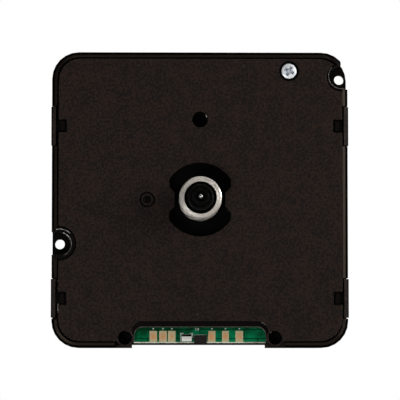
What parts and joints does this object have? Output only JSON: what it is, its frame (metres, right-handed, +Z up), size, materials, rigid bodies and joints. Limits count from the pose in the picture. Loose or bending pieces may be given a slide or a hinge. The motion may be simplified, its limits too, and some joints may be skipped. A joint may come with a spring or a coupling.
{
  "type": "quartz clock movement",
  "caption": "Square quartz clock movement with a threaded bush, coaxial hand shafts, stepping motor train, setting knob and an open bay for one AA cell.",
  "frame": {"origin": "middle of the bounding box's bottom face; the movement stands upright on its lower edge", "axes": "+Y from the dial side to the back, along the hand shafts; +X to the right seen from the dial; +Z up"},
  "size_m": [0.0564, 0.0294, 0.0562],
  "materials": {
    "case_plastic": "fine sparked black-brown",
    "shaft_plastic": "smooth black",
    "white_plastic": "natural acetal",
    "plated_brass": "nickel plated thread",
    "zinc_steel": "zinc plated",
    "arbor_steel": "polished",
    "motor_iron": "annealed sheet",
    "rotor_ferrite": "sintered",
    "copper_wire": "enamelled copper",
    "board_green": "solder mask",
    "black_epoxy": "moulded",
    "solder_tin": "tinned",
    "contact_nickel": "nickel plated strip"
  },
  "bodies": {
    "root": {"rear_case": "case_plastic", "front_plate": "case_plastic", "threaded_bush": "plated_brass", "case_screw": "zinc_steel", "train_plate": "white_plastic", "stator": "motor_iron", "coil_core": "motor_iron", "coil_bobbin": "white_plastic", "coil_winding": "copper_wire", "circuit_board": "board_green", "quartz_crystal": "zinc_steel", "drive_chip": "black_epoxy", "chip_capacitor": "solder_tin", "chip_diode": "black_epoxy", "contact_plus": "contact_nickel", "contact_minus": "contact_nickel"},
    "hour": {"hour_wheel": "shaft_plastic"},
    "minute": {"minute_pipe": "shaft_plastic"},
    "minute_drive": {"minute_wheel": "white_plastic"},
    "third": {"third_wheel": "white_plastic"},
    "seconds": {"seconds_wheel": "white_plastic", "seconds_arbor": "arbor_steel"},
    "rotor_gear": {"rotor_wheel": "white_plastic"},
    "rotor": {"rotor_pinion": "white_plastic", "rotor_magnet": "rotor_ferrite"},
    "setting": {"intermediate_wheel": "white_plastic", "setting_knob": "case_plastic"}
  },
  "joints": [
    {"name": "seconds_spin", "type": "hinge", "parent": "root", "child": "seconds", "pos_m": [0, 0, 0.0281], "axis": [0, 1, 0], "continuous": true},
    {"name": "rotor_spin", "type": "hinge", "parent": "root", "child": "rotor", "pos_m": [0.004, 0, 0.0375], "axis": [0, 1, 0], "continuous": true},
    {"name": "rotor_gear_spin", "type": "hinge", "parent": "root", "child": "rotor_gear", "pos_m": [0, 0, 0.0341], "axis": [0, 1, 0], "continuous": true},
    {"name": "third_spin", "type": "hinge", "parent": "root", "child": "third", "pos_m": [0.009, 0, 0.0281], "axis": [0, 1, 0], "continuous": true},
    {"name": "minute_drive_spin", "type": "hinge", "parent": "root", "child": "minute_drive", "pos_m": [0, 0, 0.0281], "axis": [0, 1, 0], "continuous": true},
    {"name": "setting_turn", "type": "hinge", "parent": "root", "child": "setting", "pos_m": [-0.01, 0, 0.0281], "axis": [0, 1, 0], "continuous": true},
    {"name": "minute_turn", "type": "hinge", "parent": "root", "child": "minute", "pos_m": [0, 0, 0.0281], "axis": [0, 1, 0], "continuous": true},
    {"name": "hour_turn", "type": "hinge", "parent": "root", "child": "hour", "pos_m": [0, 0, 0.0281], "axis": [0, 1, 0], "continuous": true}
  ],
  "couplings": [
    {"joint": "rotor_spin", "follows": "seconds_spin", "ratio": 30},
    {"joint": "rotor_gear_spin", "follows": "seconds_spin", "ratio": -5},
    {"joint": "third_spin", "follows": "seconds_spin", "ratio": -0.13333},
    {"joint": "minute_drive_spin", "follows": "seconds_spin", "ratio": 0.016667},
    {"joint": "minute_turn", "follows": "setting_turn", "ratio": -3},
    {"joint": "hour_turn", "follows": "setting_turn", "ratio": -0.25}
  ]
}
